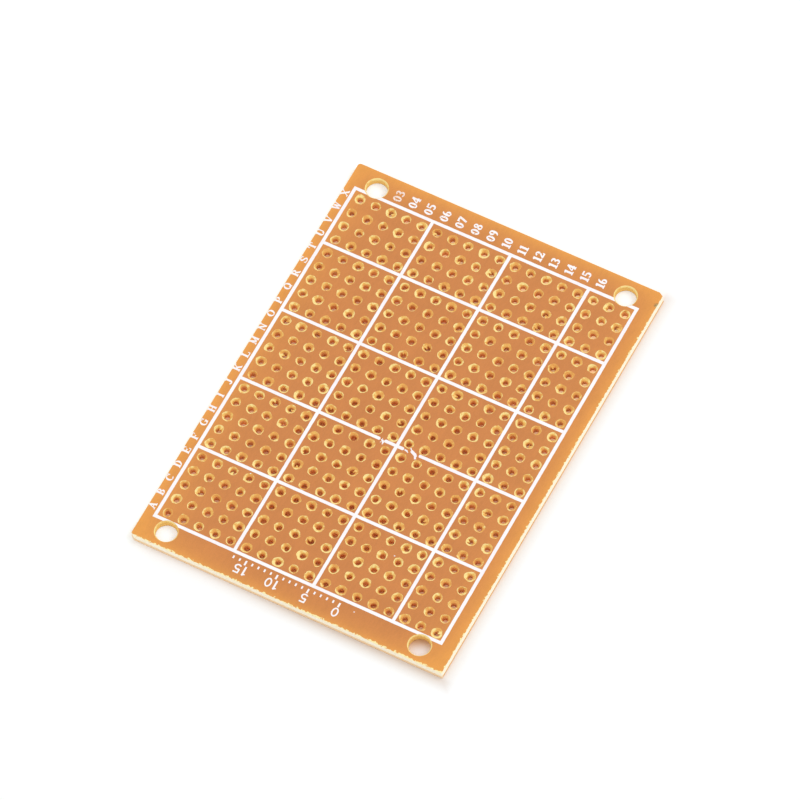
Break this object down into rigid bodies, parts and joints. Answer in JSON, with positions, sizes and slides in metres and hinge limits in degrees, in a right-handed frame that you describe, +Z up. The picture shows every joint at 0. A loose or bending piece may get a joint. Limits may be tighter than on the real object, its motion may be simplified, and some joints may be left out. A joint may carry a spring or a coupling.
{
  "type": "prototype board",
  "caption": "Perforated prototype board of phenolic laminate, with a field of lead holes over copper pads, corner mounting holes and a printed white grid with row letters and column numbers.",
  "frame": {"origin": "middle of the board's outline, on the plane of the copper pads' lower faces", "axes": "+X across the columns towards the last one, +Y along the columns from row A to row X, +Z up, out of the printed face"},
  "size_m": [0.05, 0.0696, 0.0013],
  "materials": {
    "laminate": "orange-brown phenolic paper laminate with a satin skin, pale yellow where the punch has torn it",
    "copper": "bare copper foil, lightly tarnished",
    "ink": "white screen-printed ink, flat, slightly ragged at its edges"
  },
  "bodies": {
    "root": {"laminate": "laminate", "copper_pads": "copper", "printed_grid": "ink"}
  },
  "joints": []
}
